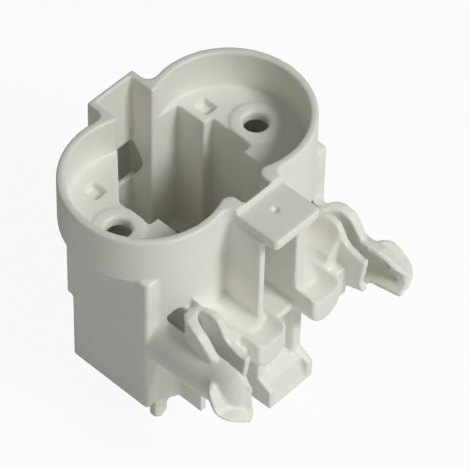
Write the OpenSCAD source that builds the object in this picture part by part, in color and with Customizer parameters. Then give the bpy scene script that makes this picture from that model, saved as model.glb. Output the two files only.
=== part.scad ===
// Oven lamp holder: a white moulded socket body with a two-lobed cup, a keyed
// well for the lamp, a snap tongue and two finger levers at the front, and a
// pair of riveted contact springs on the floor of the well.
// Millimetres. X runs along the two lobes, -Y is the front, +Z is up.
// The origin is midway between the two fixing holes, on the floor of the cup.

/* [Cup] */
// Distance from the middle to the centre of each lobe
lobe_x = 11.95; // [11.5:0.05:12.5]
// Outer radius of each lobe
lobe_r = 17.5; // [17:0.1:18.5]
// Wall of the cup
cup_wall = 1.7; // [1.4:0.1:2.2]
// Depth of the cup, from its rim to its floor
cup_depth = 9.5; // [8:0.1:12]
// Thickness of the floor of the cup
floor_t = 2.3; // [2:0.1:3]
// Radius of the rolled lips where the lobes meet the front slot
lip_r = 2; // [1:0.1:2.5]
// Radius of the fillets outside, between the lobes and the necks
neck_fillet_r = 2; // [1:0.1:3]

/* [Box below the cup] */
// Height of the box, from its open bottom to the floor of the cup
box_h = 39; // [34:0.5:44]
// Half the width of the box
box_half_w = 26; // [25.5:0.1:27]
// Distance from the middle to the front face of the box
box_front = 13.9; // [13.4:0.1:14.5]
// Distance from the middle to the back face of the box
box_back = 7.1; // [6.5:0.1:8]
// Wall of the box
box_wall = 1.8; // [1.4:0.1:2.2]
// Drop from the floor of the cup to the top corners of the box
corner_drop = 1.3; // [1:0.1:1.6]
// Radius along the upright edges of the box
edge_r = 0.8; // [0.4:0.1:1.2]

/* [Fixing holes] */
// Distance between the two fixing holes
hole_pitch = 39.2; // [38:0.1:40]
// Radius of a fixing hole
hole_r = 2.65; // [2:0.05:3]
// Radius of the raised ring around a fixing hole
ring_r = 5.3; // [4:0.1:6]
// Height of the raised ring
ring_h = 0.5; // [0.3:0.1:1]
// Chamfer at the mouth of a fixing hole
hole_chamfer = 0.5; // [0.2:0.1:0.8]

/* [Locating pockets] */
// Distance from the middle to a pocket, along the lobes
pocket_x = 15.75; // [15.5:0.05:16.5]
// Distance from the middle back to a pocket
pocket_y = 10.3; // [10:0.05:10.8]
// Width of a pocket
pocket_w = 3.2; // [2:0.1:3.6]
// Length of a pocket
pocket_l = 3.8; // [3:0.1:4.4]
// Depth of a pocket
pocket_depth = 1.6; // [1:0.1:1.8]

/* [Well] */
// Half width of the well at its shoulders
well_half_w = 14.5; // [14:0.1:14.8]
// Half width of the well between its steps
well_half_step = 12.2; // [11.6:0.1:12.6]
// Front limit of the well
well_front = 12.6; // [12:0.1:12.8]
// Place of the step at the front of the shoulders
well_step_y = 3.5; // [2:0.1:5]
// Back limit of the well
well_back = 14.8; // [14:0.1:15.2]
// Place of the step at the back of the right shoulder
key_step_y = 7.3; // [6:0.1:8.5]
// Place where the slanted key on the left leaves the shoulder
key_slant_y = 4.9; // [4:0.1:6]
// Wall around the well
well_wall = 1.7; // [1.4:0.1:2]
// Thickness of the bottom of the well
bottom_t = 2.2; // [1.8:0.1:3]

/* [Back channel] */
// Half the width of the channel, outside
channel_half_w = 6.4; // [6:0.1:7]
// Wall at the sides of the channel
channel_wall = 1.5; // [1.2:0.1:2]
// Distance from the middle to the back of the channel
channel_back = 21.8; // [21:0.1:22.5]
// Thickness of the back of the channel
channel_back_t = 1.15; // [1:0.05:1.6]
// Height of the lower edge of the cable window
window_low = 18.4; // [16:0.1:20]
// Height of the upper edge of the cable window
window_high = 29.6; // [27:0.1:31]
// Distance from the middle to the back of the hood over the window
hood_back = 26.2; // [25.5:0.1:27]
// Distance from the middle to the right side of the hood
hood_side = 10.2; // [9.6:0.1:11]

/* [Front rails and tab] */
// Half the gap between the two front rails
rail_gap_half = 3.7; // [3.4:0.1:4]
// Half the width over the two front rails
rail_half_w = 6.4; // [6:0.1:7]
// Distance from the middle to the front of the rails
rail_front = 26; // [25:0.1:27]
// Thickness of the tab on top of the rails
tab_t = 2.5; // [2:0.1:3]
// Drop from the rim to the top of the tab
tab_drop = 1.2; // [0.8:0.1:2]
// Distance from the middle to the front of the tab
tab_front = 29.5; // [28.5:0.1:30]
// Distance from the middle to the back of the tab
tab_back = 18.5; // [18:0.1:19]
// Radius of the moulding dimple in the tab
dimple_r = 0.8; // [0.5:0.1:1.2]

/* [Snap tongue] */
// Depth of the web of the tongue behind the rails
web_recess = 1.9; // [1:0.1:2.4]
// Thickness of the web of the tongue
web_t = 1.8; // [1.4:0.1:2.2]
// Distance that the wedge reaches below the box
wedge_drop = 4.3; // [3:0.1:5]
// Height of the wedge
wedge_h = 7; // [6:0.1:8]
// Distance from the middle to the nose of the wedge
wedge_front = 29.4; // [28.5:0.1:30.5]
// Width of the frame at each side of the wedge
wedge_frame = 1.8; // [1.2:0.1:2.2]

/* [Saddle blocks] */
// Height of the underside of the saddles
saddle_low = 17; // [16:0.1:18]
// Height of the top of the saddles
saddle_top = 23.3; // [22:0.1:24]
// Distance from the middle to the front of the saddles
saddle_front = 26.2; // [25.5:0.1:28]
// Radius of the dish between a saddle's flat top and its fin
dish_r = 6.6; // [4:0.2:7]
// Distance from the middle to the inner face of the fins
fin_x = 16.4; // [16:0.1:16.8]
// Thickness of the fins
fin_t = 1.6; // [1.2:0.1:1.8]
// Distance from the middle to the front edge of the fins
fin_front = 33; // [32:0.1:33.5]
// Height of the shoulder of the fins
fin_shoulder = 25.3; // [24.8:0.1:26]
// Height of the rounded top of the fins
fin_top = 30.6; // [30:0.1:31.5]
// Radius of the noses under the saddles
nose_r = 5; // [4:0.1:5.1]

/* [Finger levers] */
// Wall of a lever
lever_t = 1.5; // [1.2:0.1:1.8]
// Height of the rim of a lever
lever_rim_z = 25; // [24.5:0.1:25.5]
// Radius of the lever's trough
lever_r = 6; // [5.6:0.1:6.3]
// Height of the ear on top of a lever
ear_h = 4.6; // [4:0.1:5.5]
// Distance from the middle to the front of the ears
ear_front = 28; // [27.5:0.1:28.5]

/* [Feet] */
// Distance from the middle to the feet
foot_x = 21.8; // [21:0.1:22.5]
// Length of a foot below the box
foot_drop = 6; // [4:0.1:7]

/* [Contacts] */
// Distance between the gripping faces of the two contacts
contact_gap = 6.4; // [5:0.1:8]
// Thickness of the contact strip
strip_t = 0.6; // [0.5:0.05:0.8]
// Width of the contact strip
strip_w = 4.8; // [4:0.1:5.2]
// Height of the contact springs above the bottom of the well
spring_h = 9; // [7:0.1:11]
// Radius of a rivet's shank
rivet_r = 1.2; // [1:0.05:1.4]

/* [Hidden] */
$fn = 72;
eps = 0.02;
body_white = [0.93, 0.93, 0.90];
contact_brass = [0.80, 0.72, 0.45];
rivet_metal = [0.78, 0.78, 0.76];

// Heights below are measured from the open bottom of the box.
rim_z = box_h + cup_depth;
shelf_z = box_h - floor_t;
bottom_z = 2;
// Front of the rounded lips, where the tab starts.
lip_front = 19;

// Points of an arc about [x, y], from angle a0 to angle a1 in n steps.
function arc(x, y, r, a0, a1, n) =
    [for (i = [0:n]) let (a = a0 + (a1 - a0) * i / n) [x + r * cos(a), y + r * sin(a)]];

// Distance from the X axis to the centre of a fillet of radius f between a lobe
// of radius r and a neck of half width w.
function fillet_y(r, w, f) = sqrt(pow(r + f, 2) - pow(lobe_x - w - f, 2));

// Outline of two lobes of radius r with a back neck (half width wb, to yb,
// fillet fb) and a front neck (half width wf, to yf, fillet ff).
function lobes_outline(r, wb, yb, fb, wf, yf, ff) =
    let (
        cb = fillet_y(r, wb, fb), ab = atan2(cb, wb + fb - lobe_x),
        cf = fillet_y(r, wf, ff), af = atan2(cf, wf + ff - lobe_x),
        h = concat([[wb, yb]], arc(wb + fb, cb, fb, 180, 180 + ab, 6),
            arc(lobe_x, 0, r, ab, -af, 60), arc(wf + ff, -cf, ff, 180 - af, 180, 8), [[wf, -yf]])
    )
    concat(h, [for (i = [len(h) - 1:-1:0]) [-h[i][0], h[i][1]]]);

// Outline of the cup with its back channel and its front neck.
module cup_outline() {
    polygon(lobes_outline(lobe_r, channel_half_w, channel_back, neck_fillet_r,
        rail_half_w, lip_front, neck_fillet_r));
}

// Inside of the cup above its floor, with the rolled lips of the front slot.
module cup_hollow() {
    polygon(lobes_outline(lobe_r - cup_wall, channel_half_w - channel_wall,
        channel_back - channel_back_t, 0.6, rail_gap_half, tab_back, lip_r));
}

// Outline of the keyed well and of the channel behind it.
module well_outline() {
    c = channel_half_w - channel_wall;
    back = channel_back - channel_back_t;
    polygon([[c, back], [-c, back], [-c, well_back], [-well_half_w, key_slant_y],
        [-well_half_w, -well_step_y], [-well_half_step, -well_step_y],
        [-well_half_step, -well_front], [well_half_step, -well_front],
        [well_half_step, -well_step_y], [well_half_w, -well_step_y],
        [well_half_w, key_step_y], [well_half_step, key_step_y],
        [well_half_step, well_back], [c, well_back]]);
}

// Outside of the tube around the well.
module well_shell() {
    w = well_half_w + well_wall;
    v = well_half_step + well_wall;
    b = well_back + well_wall;
    polygon([[-w, -box_front], [w, -box_front], [w, key_step_y + well_wall],
        [v, key_step_y + well_wall], [v, b], [-channel_half_w, b], [-w, key_slant_y + 0.7]]);
}

// The box with its rounded upright and top edges, the lobes' bulges down its
// front, the lugs at its back and the tube of the well.
module box_solid() {
    r = edge_r;
    w = box_half_w;
    top = box_h - corner_drop;
    intersection() {
        linear_extrude(top) polygon(concat(
            arc(w - r, box_back - r, r, 0, 90, 4), arc(r - w, box_back - r, r, 90, 180, 4),
            arc(r - w, r - box_front, r, 180, 270, 4), arc(w - r, r - box_front, r, 270, 360, 4)));
        translate([0, box_back + 1, 0]) rotate([90, 0, 0]) linear_extrude(box_front + box_back + 2)
            polygon(concat([[w, -1], [w, 0]], arc(w - r, top - r, r, 0, 90, 4),
                arc(r - w, top - r, r, 90, 180, 4), [[-w, -1]]));
    }
    for (s = [0, 1]) mirror([s, 0, 0]) {
        linear_extrude(shelf_z + 0.1) polygon(arc(lobe_x, 0, lobe_r, -50, -130, 28));
        translate([20, box_back - 0.1, 18.4]) cube([6, 1.4, 14.6]);
    }
    linear_extrude(shelf_z + 0.1) well_shell();
    translate([-channel_half_w, 0, 0]) cube([2 * channel_half_w, channel_back, shelf_z + 0.1]);
}

// The hollows of the box that are open at its bottom: one at each side of the
// well, and a crescent behind each bulge of the front.
module box_cavity() {
    w = well_half_w + well_wall;
    y = well_front + well_wall;
    translate([0, 0, -10]) linear_extrude(shelf_z + 10) {
        for (s = [0, 1]) mirror([s, 0]) {
            translate([w, box_wall - box_front])
                square([box_half_w - box_wall - w, box_front + box_back - 2 * box_wall]);
            polygon(concat([[7.2, -y], [7.2, -15]], arc(lobe_x, 0, lobe_r - cup_wall, -106, -65, 12)));
        }
    }
}

// The two rails of the front, with the tab on top of them.
module rails() {
    for (s = [0, 1]) mirror([s, 0, 0])
        translate([rail_gap_half, -rail_front, saddle_low])
            cube([rail_half_w - rail_gap_half, rail_front - 12.7, rim_z - tab_drop - saddle_low - 0.2]);
    translate([0, 0, rim_z - tab_drop - tab_t]) linear_extrude(tab_t)
        polygon(concat([[rail_half_w, -tab_back], [-rail_half_w, -tab_back]],
            arc(1 - rail_half_w, 1 - tab_front, 1, 180, 270, 5), arc(rail_half_w - 1, 1 - tab_front, 1, 270, 360, 5)));
    translate([-rail_half_w, -rail_front + 0.01, 16.2])
        cube([2 * rail_half_w, rail_front - 13, 1.8]);
}

// The snap tongue that hangs in front of the box, with the wedge at its end.
module tongue() {
    web_y = rail_front - web_recess;
    for (s = [0, 1]) mirror([s, 0, 0]) {
        translate([rail_gap_half + 0.2, -rail_front, -wedge_drop])
            cube([rail_half_w - rail_gap_half - 0.2, web_recess + web_t, 17 + wedge_drop]);
        translate([rail_half_w, 0, 0]) rotate([90, 0, -90])
            linear_extrude(wedge_frame) polygon([[rail_front - 1, 2.7], [rail_front, 2.6],
                [wedge_front, 0.7], [wedge_front, 0.1 - wedge_drop], [rail_front - 1, -wedge_drop]]);
    }
    translate([-rail_gap_half - 0.3, -web_y, -wedge_drop])
        cube([2 * rail_gap_half + 0.6, web_t, 17 + wedge_drop]);
    translate([rail_half_w - 1, 0, 0]) rotate([90, 0, -90])
        linear_extrude(2 * rail_half_w - 2) polygon([[web_y - 1, wedge_h - wedge_drop - 0.4],
            [rail_front - 0.7, 2.4], [27.7, 1.3], [28.6, -2.6], [wedge_front, 0.7 - wedge_drop],
            [wedge_front, -wedge_drop], [web_y - 1, -wedge_drop]]);
}

// One saddle block, on the +X side: a flat top that curves up into the fin, a
// round nose below and a post in front.
module saddle() {
    r = dish_r;
    translate([0, -13, 0]) rotate([90, 0, 0]) linear_extrude(saddle_front - 13)
        polygon(concat([[rail_gap_half + 0.1, saddle_top], [rail_gap_half + 0.1, saddle_low],
            [fin_x + 0.1, saddle_low], [fin_x + 0.1, saddle_top + r - 0.4]],
            arc(fin_x - r, saddle_top + r, r, -5, -90, 8)));
    translate([13.5, -28.5, 12.5]) cube([fin_x - 13.4, 10, 8]);
    translate([8.95, -24.75, saddle_top - nose_r - 0.25]) sphere(nose_r, $fn = 32);
}

// One fin, on the +X side.
module fin() {
    translate([fin_x, 0, 0]) rotate([90, 0, 90]) linear_extrude(fin_t)
        polygon([[-13, 26.5], [-17.5, 27.5], [-19.8, fin_top - 1.4], [-21.5, fin_top - 0.2],
            [-23.6, fin_top + 0.2], [-25.2, fin_top - 0.3], [-26.3, 28.6], [-27.2, 26.8],
            [-28.3, fin_shoulder + 0.6], [-31.6, fin_shoulder - 0.5], [-fin_front, fin_shoulder - 0.3],
            [-32.5, 21], [-32, 18], [-fin_front, 16.2], [-21.3, 12], [-21.3, -1.5], [-13, -1.5]]);
}

// One finger lever, on the +X side: a trough that opens towards the fin, an ear
// on top of it and a dished thumb pad at its end.
module lever() {
    n = 10;
    m = 2 * n + 2;
    // Each station: y, centre x and z, outer radius, angles of the rim and of the lower edge.
    stations = [[-13, 19.2, 18.9, lever_r + 0.7, 76, -52], [-22, 19.1, 18.7, lever_r + 0.6, 77, -56],
        [-28, 19, 18.5, lever_r + 0.5, 77, -64], [-31, 19.2, 18.8, lever_r + 0.3, 79, -78],
        [-33.6, 19.5, 19.5, lever_r - 0.6, 80, -92], [-36.2, 19.8, 20.8, lever_r - 2.1, 84, -80]];
    points = [for (q = stations) each concat(
        [for (c = arc(q[1], q[2], q[3], q[4], q[5], n)) [c[0], q[0], c[1]]],
        [for (c = arc(q[1], q[2], q[3] - lever_t, q[5], q[4], n)) [c[0], q[0], c[1]]])];
    last = len(points) - m;
    polyhedron(points, concat(
        [for (i = [0:m:last - m], j = [0:m - 1]) let (k = (j + 1) % m) [i + j, i + k, i + m + j]],
        [for (i = [0:m:last - m], j = [0:m - 1]) let (k = (j + 1) % m) [i + k, i + m + k, i + m + j]],
        [for (e = [0, 1], j = [0:n - 1]) let (o = e * last)
            e == 0 ? [o + j, o + m - 1 - j, o + j + 1] : [o + j, o + j + 1, o + m - 1 - j]],
        [for (e = [0, 1], j = [0:n - 1]) let (o = e * last)
            e == 0 ? [o + j + 1, o + m - 1 - j, o + m - 2 - j] : [o + j + 1, o + m - 2 - j, o + m - 1 - j]]));
    ear();
    pad();
}

// Ear on top of the +X lever: a curved wall that runs from the fin round the
// back of the slot and along the lever's rim.
module ear() {
    intersection() {
        linear_extrude(40) polygon([[16.5, -15.2], [18.6, -16.4], [20.6, -18.9], [22, -20.7],
            [22.7, -22.6], [22.9, -25], [22.7, -ear_front], [21.7, -ear_front - 0.8], [20.6, -ear_front],
            [20.6, -24.6], [20.3, -22.8], [19.4, -21.2], [18.4, -20.4], [17.2, -20.2], [16.5, -20.4]]);
        translate([10, 0, 0]) rotate([90, 0, 90]) linear_extrude(15)
            polygon([[-13, 19], [-13, 26], [-16.8, 26.8], [-18.6, lever_rim_z + ear_h - 0.8],
                [-20.4, lever_rim_z + ear_h + 0.2], [-22.6, lever_rim_z + ear_h + 0.3], [-24.2, 29.3],
                [-25.6, 28.3], [-26.7, 26.9], [-27.6, 25.7], [-ear_front - 0.9, 24.6],
                [-ear_front - 0.9, 23.4], [-21.5, 23.4], [-20, 19]]);
    }
}

// Thumb pad of the +X lever: a thin petal that fans out from a crease at the
// lever's end, with its rim a little proud of the crease.
module pad() {
    inward = [-0.36, 1.0, -0.72];
    rim = [[22, -35.8, 18.3], [25, -30.5, 22.6], [27, -31.8, 22.3], [28, -34.4, 19.2], [27.4, -36.4, 18.1],
        [26, -38, 17.5], [23.8, -38.9, 16.2], [22.1, -38.6, 14.5], [21, -38.1, 15], [20.6, -37.4, 17],
        [20.5, -37.3, 20.2], [20.6, -36.4, 22.9]];
    m = len(rim);
    polyhedron([for (d = [0, 1]) each [for (q = rim) q + d * inward]], concat(
        [for (j = [1:m - 2]) [0, j, j + 1]], [for (j = [1:m - 2]) [m, m + j + 1, m + j]],
        [for (j = [0:m - 1]) [j, j + m, (j + 1) % m]], [for (j = [0:m - 1]) [(j + 1) % m, j + m, (j + 1) % m + m]]));
}

// White moulded body: cup, box, well, rails, tab, snap tongue, saddles, fins
// and finger levers in one piece.
module holder_body() {
    color(body_white) translate([0, 0, -box_h]) difference() {
        union() {
            translate([0, 0, shelf_z]) linear_extrude(rim_z - shelf_z) cup_outline();
            box_solid();
            hood();
            rails();
            tongue();
            for (s = [0, 1]) mirror([s, 0, 0]) {
                saddle();
                fin();
                lever();
                foot();
            }
            for (s = [-1, 1]) translate([s * hole_pitch / 2, 0, shelf_z])
                cylinder(floor_t + ring_h, r = ring_r);
        }
        translate([0, 0, box_h]) linear_extrude(rim_z) difference() {
            cup_hollow();
            for (s = [-1, 1]) translate([s * hole_pitch / 2, 0]) circle(ring_r);
        }
        for (s = [-1, 1]) translate([s * hole_pitch / 2, 0, box_h + ring_h])
            cylinder(rim_z, r = ring_r);
        translate([0, 0, bottom_z + bottom_t]) linear_extrude(rim_z) well_outline();
        translate([0, 0, -1]) linear_extrude(bottom_z + 1) well_outline();
        front_slot();
        box_cavity();
        back_window();
        hood_hollow();
        for (s = [-1, 1]) {
            translate([s * hole_pitch / 2, 0, shelf_z - 1]) cylinder(floor_t + 3, r = hole_r);
            translate([s * hole_pitch / 2, 0, box_h + ring_h - hole_chamfer])
                cylinder(hole_chamfer + eps, hole_r, hole_r + hole_chamfer + eps);
            translate([s * pocket_x - pocket_w / 2, pocket_y - pocket_l / 2, box_h - pocket_depth])
                cube([pocket_w, pocket_l, pocket_depth + 1]);
            translate([s * 7, 0, -1]) cylinder(10, r = rivet_r);
        }
        translate([0, -23.2, rim_z - tab_drop]) sphere(dimple_r, $fn = 32);
        for (s = [0, 1]) mirror([s, 0, 0]) arch_pocket();
    }
}

// Slot between the rails, from the well to the front, above the bridge.
module front_slot() {
    translate([-rail_gap_half, -rail_front - 2, 18])
        cube([2 * rail_gap_half, rail_front + 2 - 12, rim_z - tab_drop - tab_t - 18]);
    translate([-rail_gap_half, -tab_back, 40]) cube([2 * rail_gap_half, tab_back - 12.5, 10]);
}

// Hood behind the cable window, open at its bottom, where the leads leave.
module hood() {
    x = -channel_half_w;
    translate([x, channel_back - 5.4, window_low - 9])
        cube([hood_side - x, hood_back - channel_back + 5.4, window_high - window_low + 10.5]);
}

// Inside of the hood.
module hood_hollow() {
    t = 1.2;
    z = window_low - 10;
    h = window_high + 0.3 - z;
    translate([-channel_half_w + t, channel_back, z]) cube([hood_side + channel_half_w - 2 * t, hood_back - t - channel_back, h]);
    translate([channel_half_w, well_back + well_wall, z])
        cube([hood_side - t - channel_half_w, hood_back - t - well_back - well_wall, h]);
}

// Opening through the back of the channel, where the leads pass to the hood.
module back_window() {
    c = channel_half_w - channel_wall;
    translate([-c, channel_back - 3, window_low]) cube([2 * c, 4, window_high - window_low]);
    translate([c - 0.1, 0, 0]) rotate([90, 0, 90]) linear_extrude(channel_wall + 1)
        polygon([[channel_back + 1, window_high], [20.7, window_high], [19, 27.7], [17.9, 25.6], [17.6, 24.3],
            [18.5, 21.8], [20.5, window_low + 0.2], [channel_back + 1, window_low]]);
}

// Shallow arched pocket of the front face behind an ear.
module arch_pocket() {
    translate([0, -box_front + 1.3, 0]) rotate([90, 0, 0]) linear_extrude(8)
        polygon([[18.1, 19], [21.2, 19], [21.2, 25.5], [20.4, 26.5], [19.7, 27.3], [18.3, 27.5]]);
}

// Foot and skirt below the front face, on the +X side.
module foot() {
    y = -box_front;
    translate([foot_x, y, 0]) rotate([-90, 0, 0]) linear_extrude(box_wall)
        polygon([[-1.8, -1], [1.7, -1], [1.7, foot_drop - 1], [-0.3, foot_drop + 0.4], [-1.8, foot_drop - 1]]);
    translate([6.4, y, -2.5]) cube([17.1, box_wall, 3]);
}

// Contact strip of the +X side: a foot on the bottom of the well, a spring leg
// that grips the lamp's cap and a blade that points to the cable window.
module contact() {
    z = bottom_z + bottom_t;
    g = contact_gap / 2;
    w = strip_w;
    translate([0, 0, -box_h]) difference() {
        union() {
            translate([g, -w / 2, z]) cube([6.6, w, strip_t]);
            translate([g, -w / 2, z]) cube([strip_t, w, spring_h - 2]);
            translate([g, w / 2, z + spring_h - 2]) rotate([90, 0, 0]) linear_extrude(w)
                polygon([[0, 0], [strip_t, 0], [strip_t + 1.2, 2], [1.2, 2]]);
            translate([4.6, w / 2 - 0.1, z]) cube([w, 9.6, strip_t]);
        }
        translate([7, 0, z - 1]) cylinder(3, r = rivet_r);
    }
}

module contact_left() { color(contact_brass) mirror([1, 0, 0]) contact(); }
module contact_right() { color(contact_brass) contact(); }

// Rivet of the +X side: one head on the contact's foot, the other under the
// bottom of the well.
module rivet() {
    z = bottom_z + bottom_t + strip_t;
    translate([7, 0, -box_h]) rotate_extrude($fn = 48)
        polygon([[0, bottom_z - 0.7], [1.8, bottom_z - 0.7], [2.1, bottom_z], [rivet_r, bottom_z],
            [rivet_r, z], [2.1, z], [1.8, z + 0.8], [0, z + 0.8]]);
}

module rivet_left() { color(rivet_metal) mirror([1, 0, 0]) rivet(); }
module rivet_right() { color(rivet_metal) rivet(); }

holder_body();
contact_left();
contact_right();
rivet_left();
rivet_right();
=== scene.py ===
"""Looks of the oven lamp holder: moulded plastic, contact metal, light, floor and camera."""

import math

import bmesh
import bpy
from mathutils import Matrix, Vector


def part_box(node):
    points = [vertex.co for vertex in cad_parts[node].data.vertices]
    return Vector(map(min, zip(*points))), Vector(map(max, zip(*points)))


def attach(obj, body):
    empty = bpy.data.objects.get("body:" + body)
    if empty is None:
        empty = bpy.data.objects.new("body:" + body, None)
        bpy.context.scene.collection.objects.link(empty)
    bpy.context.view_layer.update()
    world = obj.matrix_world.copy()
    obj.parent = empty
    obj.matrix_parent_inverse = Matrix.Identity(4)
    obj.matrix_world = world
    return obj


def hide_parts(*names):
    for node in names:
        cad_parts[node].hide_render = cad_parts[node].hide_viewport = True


MM = 0.001

# Height of the cup's floor above the base of the box, in millimetres, and the wall of a lever.
BASE_DROP = 39.0
LEVER_WALL = 1.4

# The end of the crease in each lever's thumb rest, and the rest's rim. Left is -1 and right is 1.
PETAL_CENTRES = {-1: (22.2, -35.9, 18.2), 1: (23.9, -35.6, 20.4)}
PETAL_RIMS = {
    -1: [(24.6, -31.2, 22.4), (27.0, -31.8, 22.1), (28.0, -34.4, 19.1), (27.4, -36.6, 18.0),
         (26.0, -38.0, 17.3), (23.8, -38.9, 16.0), (22.1, -38.6, 14.5), (20.9, -38.2, 15.4),
         (20.5, -37.5, 18.0), (20.5, -37.0, 20.6), (20.7, -36.3, 22.6)],
    1: [(24.4, -30.6, 22.6), (27.0, -31.8, 22.1), (28.0, -34.4, 19.1), (27.5, -36.6, 18.0),
        (26.0, -38.1, 17.2), (23.6, -38.9, 15.8), (23.6, -37.6, 16.6)],
}

# Sections of the open scoop of the right lever, each from its upper edge round to its lower one: y, x, z.
DOME_RADII = ((-30.0, 6.3), (-32.0, 6.25), (-33.6, 5.9), (-35.0, 5.1), (-36.0, 4.0), (-36.6, 2.7))
SCOOP_SECTIONS = [
    [(-32.5, 21.2, 24.6), (-32.4, 24.0, 23.0), (-32.3, 25.9, 19.8), (-32.3, 25.9, 17.0), (-32.4, 24.3, 14.4), (-32.5, 21.5, 13.2)],
    [(-34.5, 22.3, 23.2), (-34.4, 24.5, 21.3), (-34.4, 26.2, 18.8), (-34.4, 25.7, 16.2), (-34.5, 23.9, 14.4), (-34.6, 21.6, 13.7)],
    [(-36.2, 23.3, 21.3), (-36.4, 25.0, 19.4), (-36.6, 26.0, 17.9), (-36.6, 25.3, 16.2), (-36.7, 23.8, 14.9), (-36.8, 21.8, 14.0)],
    [(-37.8, 25.1, 18.6), (-38.0, 25.7, 17.8), (-38.2, 25.6, 17.0), (-38.4, 24.7, 16.2), (-38.5, 23.6, 15.3), (-38.5, 22.0, 14.4)],
]

# The photograph's viewpoint: where the camera stands, and its viewing and right-hand directions.
CAMERA_PLACE = Vector((-349.0, -328.9, 540.5)) * MM
CAMERA_FORWARD = Vector((0.48298, 0.43726, -0.75864))
CAMERA_RIGHT = Vector((0.68651, -0.72690, 0.01810))
CAMERA_LENS = 279.7

# Colours of the materials, in linear light.
PLASTIC_COLOUR = (0.90, 0.90, 0.84)
PLASTIC_DEEP = (0.87, 0.855, 0.77)
BRASS_COLOUR = (0.56, 0.44, 0.20)
RIVET_COLOUR = (0.55, 0.55, 0.53)
FLOOR_COLOUR = (0.93, 0.93, 0.93)


def node_tree(name):
    """A new material with an empty node tree. Gives the material, a node maker and a linker."""
    material = bpy.data.materials.new(name)
    material.use_nodes = True
    tree = material.node_tree
    tree.nodes.clear()

    def make(kind, **values):
        node = tree.nodes.new(kind)
        for key, value in values.items():
            if hasattr(node, key):
                setattr(node, key, value)
            else:
                node.inputs[key.replace("_", " ")].default_value = value
        return node

    return material, make, tree.links.new


def moulded_plastic():
    """Off-white satin plastic: faint mottling, a fine mould grain and softly rounded edges."""
    material, make, link = node_tree("moulded_plastic")
    place = make("ShaderNodeTexCoord")
    cloud = make("ShaderNodeTexNoise", Scale=90.0, Detail=3.0)
    grain = make("ShaderNodeTexNoise", Scale=2600.0, Detail=4.0)
    flow = make("ShaderNodeTexNoise", Scale=260.0, Detail=2.0)
    link(place.outputs["Object"], cloud.inputs["Vector"])
    link(place.outputs["Object"], grain.inputs["Vector"])
    link(place.outputs["Object"], flow.inputs["Vector"])

    tone = make("ShaderNodeMix", data_type="RGBA")
    tone.inputs["A"].default_value = (*PLASTIC_COLOUR, 1)
    tone.inputs["B"].default_value = (*PLASTIC_DEEP, 1)
    amount = make("ShaderNodeMapRange")
    amount.inputs["From Min"].default_value = 0.35
    amount.inputs["From Max"].default_value = 0.75
    amount.inputs["To Max"].default_value = 0.45
    link(cloud.outputs["Fac"], amount.inputs["Value"])
    link(amount.outputs["Result"], tone.inputs["Factor"])

    rough = make("ShaderNodeMapRange")
    rough.inputs["To Min"].default_value = 0.30
    rough.inputs["To Max"].default_value = 0.46
    link(flow.outputs["Fac"], rough.inputs["Value"])

    edge = make("ShaderNodeBevel", samples=6)
    edge.inputs["Radius"].default_value = 0.35 * MM
    bump = make("ShaderNodeBump")
    bump.inputs["Strength"].default_value = 0.12
    bump.inputs["Distance"].default_value = 0.05 * MM
    link(grain.outputs["Fac"], bump.inputs["Height"])
    link(edge.outputs["Normal"], bump.inputs["Normal"])

    surface = make("ShaderNodeBsdfPrincipled")
    surface.inputs["Subsurface Weight"].default_value = 0.25
    surface.inputs["Subsurface Radius"].default_value = (1.0, 0.9, 0.65)
    surface.inputs["Subsurface Scale"].default_value = 1.2 * MM
    surface.inputs["IOR"].default_value = 1.5
    link(tone.outputs["Result"], surface.inputs["Base Color"])
    link(rough.outputs["Result"], surface.inputs["Roughness"])
    link(bump.outputs["Normal"], surface.inputs["Normal"])
    out = make("ShaderNodeOutputMaterial")
    link(surface.outputs["BSDF"], out.inputs["Surface"])
    return material


def metal(name, colour, roughness):
    """Bare sheet metal with a brushed, slightly uneven finish."""
    material, make, link = node_tree(name)
    place = make("ShaderNodeTexCoord")
    stretch = make("ShaderNodeMapping")
    stretch.inputs["Scale"].default_value = (400, 4000, 400)
    streak = make("ShaderNodeTexNoise", Scale=1.0, Detail=3.0)
    link(place.outputs["Object"], stretch.inputs["Vector"])
    link(stretch.outputs["Vector"], streak.inputs["Vector"])
    rough = make("ShaderNodeMapRange")
    rough.inputs["To Min"].default_value = roughness - 0.08
    rough.inputs["To Max"].default_value = roughness + 0.1
    link(streak.outputs["Fac"], rough.inputs["Value"])
    tone = make("ShaderNodeMix", data_type="RGBA")
    tone.inputs["A"].default_value = (*[c * 0.85 for c in colour], 1)
    tone.inputs["B"].default_value = (*colour, 1)
    link(streak.outputs["Fac"], tone.inputs["Factor"])
    surface = make("ShaderNodeBsdfPrincipled", Metallic=1.0)
    link(tone.outputs["Result"], surface.inputs["Base Color"])
    link(rough.outputs["Result"], surface.inputs["Roughness"])
    out = make("ShaderNodeOutputMaterial")
    link(surface.outputs["BSDF"], out.inputs["Surface"])
    return material


def smooth_by_angle(obj, degrees):
    """Smooth shading where neighbouring faces differ by less than this angle."""
    obj.data.shade_smooth()
    obj.data.set_sharp_from_angle(angle=math.radians(degrees))


def solid(name, points, faces):
    """A closed mesh object from points in millimetres above the base."""
    mesh = bmesh.new()
    verts = [mesh.verts.new(Vector((x, y, z - BASE_DROP)) * MM) for x, y, z in points]
    for face in faces:
        mesh.faces.new([verts[i] for i in face])
    bmesh.ops.remove_doubles(mesh, verts=mesh.verts, dist=0.001 * MM)
    bmesh.ops.recalc_face_normals(mesh, faces=mesh.faces)
    data = bpy.data.meshes.new(name)
    mesh.to_mesh(data)
    mesh.free()
    obj = bpy.data.objects.new(name, data)
    bpy.context.collection.objects.link(obj)
    return obj


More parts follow.
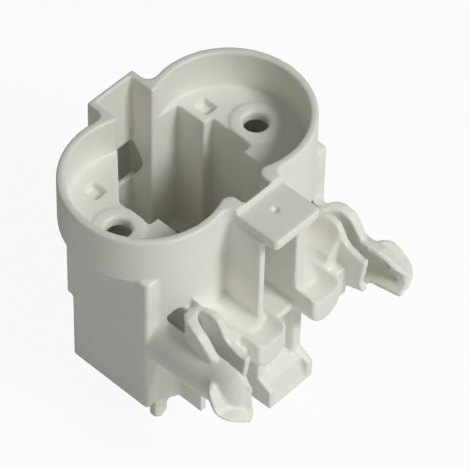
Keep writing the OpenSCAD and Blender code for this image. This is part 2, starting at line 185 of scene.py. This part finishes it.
def loft(name, rings):
    """A closed solid through rings that have as many points each."""
    n = len(rings[0])
    points = [p for ring in rings for p in ring]
    faces = [(k * n + j, k * n + (j + 1) % n, (k + 1) * n + (j + 1) % n, (k + 1) * n + j)
             for k in range(len(rings) - 1) for j in range(n)]
    faces += [tuple(range(n)), tuple(range(len(points) - n, len(points)))]
    return solid(name, points, faces)


def block(name, low, high):
    """A rectangular solid between two corners."""
    (x0, y0, z0), (x1, y1, z1) = low, high
    return loft(name, [[(x0, y, z0), (x1, y, z0), (x1, y, z1), (x0, y, z1)] for y in (y0, y1)])


def arc(x, z, r, start, end, steps):
    """Points of an arc in the upright plane across the part, angles in degrees."""
    angles = [math.radians(start + (end - start) * i / steps) for i in range(steps + 1)]
    return [(x + r * math.cos(a), z + r * math.sin(a)) for a in angles]


def smooth_loop(points, steps):
    """A closed Catmull-Rom curve through the points."""
    loop = []
    for i in range(len(points)):
        a, b, c, d = (Vector(points[(i + k - 1) % len(points)]) for k in range(4))
        for j in range(steps):
            t = j / steps
            loop.append(0.5 * (2 * b + (c - a) * t + (2 * a - 5 * b + 4 * c - d) * t * t
                               + (3 * b - a - 3 * c + d) * t ** 3))
    return loop


def dish_tool(side):
    """What the dish takes out of a saddle's top: a sloping round groove."""
    x = 9.9 * side
    rings = []
    for y, z in ((-17.5, 26.6), (-27.0, 24.0)):
        rings.append([(px, y, pz) for px, pz in arc(x, z, 3.4, 0, 345, 23)])
    return loft("dish_tool", rings)


def prow(side):
    """Front end of a saddle: a channel with a rounded lip."""
    outline = [(3.8, 22.3)] + arc(8.0, 17.7, 4.2, 180, 360, 14) + [(12.2, 22.3)] + arc(7.9, 24.2, 4.1, -28, -152, 10)
    rings = []
    for y, scale in ((-22.0, 1.0), (-29.9, 1.0), (-30.6, 0.96), (-31.0, 0.88)):
        rings.append([(side * (7.9 + (x - 7.9) * scale), y, 18.0 + (z - 18.0) * scale) for x, z in outline])
    return loft("prow", rings)


def scoop(side):
    """End of a finger lever: the left trough closes in a round end, the right one runs out open."""
    if side < 0:
        sections = [[(y, x, z) for x, z in arc(19.2, 18.8, r, 78, -76, 14)] for y, r in DOME_RADII]
    else:
        sections = [[(-30.0, x, z) for x, z in arc(19.2, 18.8, 6.3, 78, -70, 5)]] + SCOOP_SECTIONS
    rings = []
    for section in sections:
        outer = [Vector((x, y, z)) for y, x, z in section]
        inner = []
        for p in reversed(outer):
            axis = Vector((19.4, p.y, 18.9))
            inner.append(p + (axis - p).normalized() * LEVER_WALL)
        rings.append([(side * p.x, p.y, p.z) for p in outer + inner])
    return loft("scoop", rings)


def petal(side):
    """Thumb rest at the end of a lever: a smooth plate that fans out from its crease."""
    rim = smooth_loop(PETAL_RIMS[side], 4)
    centre = Vector(PETAL_CENTRES[side])
    inward = Vector((-0.45, 1.15, -0.75))
    n = len(rim)
    points = [centre] + rim + [centre + inward] + [p + inward for p in rim]
    faces = []
    for j in range(n):
        k = (j + 1) % n
        faces += [(0, 1 + j, 1 + k), (n + 1, n + 2 + k, n + 2 + j), (1 + j, n + 2 + j, n + 2 + k, 1 + k)]
    return solid("petal", [(side * p.x, p.y, p.z) for p in points], faces)


def moulded_body(node, voxel, passes):
    """A copy of the body with its finer forms and softly rounded edges, as the mould leaves them."""
    mesh = bmesh.new()
    mesh.from_mesh(node.data)
    bmesh.ops.remove_doubles(mesh, verts=mesh.verts, dist=0.001 * MM)
    data = bpy.data.meshes.new("moulded_body")
    mesh.to_mesh(data)
    mesh.free()
    piece = bpy.data.objects.new("moulded_body", data)
    bpy.context.collection.objects.link(piece)
    cuts = [block("slot_tool", (-5.3, -27.0, 18.6), (-3.5, -19.0, 45.6))]
    added = [block("rail_left", (-7.0, -26.0, 20.0), (-5.3, -14.0, 45.0))]
    for side in (-1, 1):
        x0, x1 = sorted((2.9 * side, 13.45 * side))
        cuts.append(block("front_tool", (x0, -32.0, 9.0), (x1, -26.3, 23.6)))
        cuts.append(dish_tool(side))
        x0, x1 = sorted((19.0 * side, 30.0 * side))
        cuts.append(block("lever_tool", (x0, -42.0, 10.0), (x1, -30.6, 27.5)))
        x0, x1 = sorted((11.6 * side, 13.8 * side))
        added += [prow(side), scoop(side), petal(side), block("web", (x0, -28.4, 14.6), (x1, -24.0, 20.3))]
    for tool in cuts:
        cut = piece.modifiers.new(tool.name, "BOOLEAN")
        cut.operation = "DIFFERENCE"
        cut.solver = "EXACT"
        cut.object = tool
    apply_modifiers(piece)
    joined = bmesh.new()
    joined.from_mesh(piece.data)
    for part in added:
        joined.from_mesh(part.data)
    joined.to_mesh(piece.data)
    joined.free()
    for tool in cuts + added:
        bpy.data.objects.remove(tool)
    skin = piece.modifiers.new("skin", "REMESH")
    skin.mode = "VOXEL"
    skin.voxel_size = voxel
    skin.use_smooth_shade = True
    soften = piece.modifiers.new("soften", "SMOOTH")
    soften.factor = 0.5
    soften.iterations = passes
    apply_modifiers(piece)
    print("moulded_body", len(piece.data.vertices), "points")
    return piece


def apply_modifiers(obj):
    """Puts what the object's modifiers make into its mesh."""
    depsgraph = bpy.context.evaluated_depsgraph_get()
    done = bpy.data.meshes.new_from_object(obj.evaluated_get(depsgraph))
    obj.modifiers.clear()
    obj.data = done


def floor(height):
    """A pale floor just under the part. The camera sees it white, with the part's shadow."""
    bpy.ops.mesh.primitive_plane_add(size=3, location=(0, 0, height))
    plane = bpy.context.object
    plane.name = "floor"
    material, make, link = node_tree("pale_floor")
    matte = make("ShaderNodeBsdfDiffuse")
    matte.inputs["Color"].default_value = (*FLOOR_COLOUR, 1)
    white = make("ShaderNodeEmission")
    white.inputs["Color"].default_value = (1, 1, 1, 1)
    seen = make("ShaderNodeLightPath")
    mix = make("ShaderNodeMixShader")
    part = make("ShaderNodeMath", operation="MULTIPLY")
    part.inputs[1].default_value = 0.93
    link(seen.outputs["Is Camera Ray"], part.inputs[0])
    link(part.outputs[0], mix.inputs["Fac"])
    link(matte.outputs["BSDF"], mix.inputs[1])
    link(white.outputs["Emission"], mix.inputs[2])
    out = make("ShaderNodeOutputMaterial")
    link(mix.outputs["Shader"], out.inputs["Surface"])
    plane.data.materials.append(material)


def lamp(name, direction, distance, size, power):
    """A square soft light that shines on the part from this direction."""
    data = bpy.data.lights.new(name, "AREA")
    data.size = size
    data.energy = power
    place = Vector(direction).normalized() * distance
    obj = bpy.data.objects.new(name, data)
    obj.location = place
    obj.rotation_euler = (-place).to_track_quat("-Z", "Y").to_euler()
    bpy.context.collection.objects.link(obj)


def light():
    """A soft key light from the front, and an even pale surrounding."""
    lamp("key", (0.18, -0.84, 0.78), 0.8, 0.25, 3.75)
    world = bpy.data.worlds.new("surround")
    bpy.context.scene.world = world
    world.use_nodes = True
    tree = world.node_tree
    tree.nodes.clear()
    dim = tree.nodes.new("ShaderNodeBackground")
    dim.inputs["Color"].default_value = (1.0, 0.99, 0.96, 1)
    dim.inputs["Strength"].default_value = 0.17
    white = tree.nodes.new("ShaderNodeBackground")
    white.inputs["Strength"].default_value = 1.0
    white.inputs["Color"].default_value = (1, 1, 1, 1)
    path = tree.nodes.new("ShaderNodeLightPath")
    mix = tree.nodes.new("ShaderNodeMixShader")
    out = tree.nodes.new("ShaderNodeOutputWorld")
    tree.links.new(path.outputs["Is Camera Ray"], mix.inputs["Fac"])
    tree.links.new(dim.outputs["Background"], mix.inputs[1])
    tree.links.new(white.outputs["Background"], mix.inputs[2])
    tree.links.new(mix.outputs["Shader"], out.inputs["Surface"])


def camera():
    """The camera at the photograph's viewpoint."""
    data = bpy.data.cameras.new("camera")
    data.lens = CAMERA_LENS
    data.sensor_width = 36
    data.clip_start = 0.01
    obj = bpy.data.objects.new("camera", data)
    back = -CAMERA_FORWARD.normalized()
    right = (CAMERA_RIGHT - CAMERA_RIGHT.dot(back) * back).normalized()
    up = back.cross(right)
    turn = Matrix((right, up, back)).transposed()
    obj.matrix_world = Matrix.Translation(CAMERA_PLACE) @ turn.to_4x4()
    bpy.context.collection.objects.link(obj)
    bpy.context.scene.camera = obj


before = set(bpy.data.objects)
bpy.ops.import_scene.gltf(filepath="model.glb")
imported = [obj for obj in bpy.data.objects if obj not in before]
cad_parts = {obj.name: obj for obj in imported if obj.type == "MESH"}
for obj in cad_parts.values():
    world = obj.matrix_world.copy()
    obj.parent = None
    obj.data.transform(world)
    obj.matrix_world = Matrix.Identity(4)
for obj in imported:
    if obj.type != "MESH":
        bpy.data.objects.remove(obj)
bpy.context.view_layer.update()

plastic = moulded_plastic()
finishes = {
    "holder_body": plastic,
    "contact_left": metal("contact_brass", BRASS_COLOUR, 0.30),
    "contact_right": metal("contact_brass_right", BRASS_COLOUR, 0.30),
    "rivet_left": metal("rivet_metal", RIVET_COLOUR, 0.35),
    "rivet_right": metal("rivet_metal_right", RIVET_COLOUR, 0.35),
}
for name, material in finishes.items():
    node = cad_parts[name]
    node.material_slots[0].material = material

body = moulded_body(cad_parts["holder_body"], 0.3 * MM, 7)
body.data.materials.clear()
body.data.materials.append(plastic)
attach(body, "root")
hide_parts("holder_body")

floor(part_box("holder_body")[0][2] - 0.3 * MM)
light()
camera()
bpy.context.scene.view_settings.view_transform = "Standard"
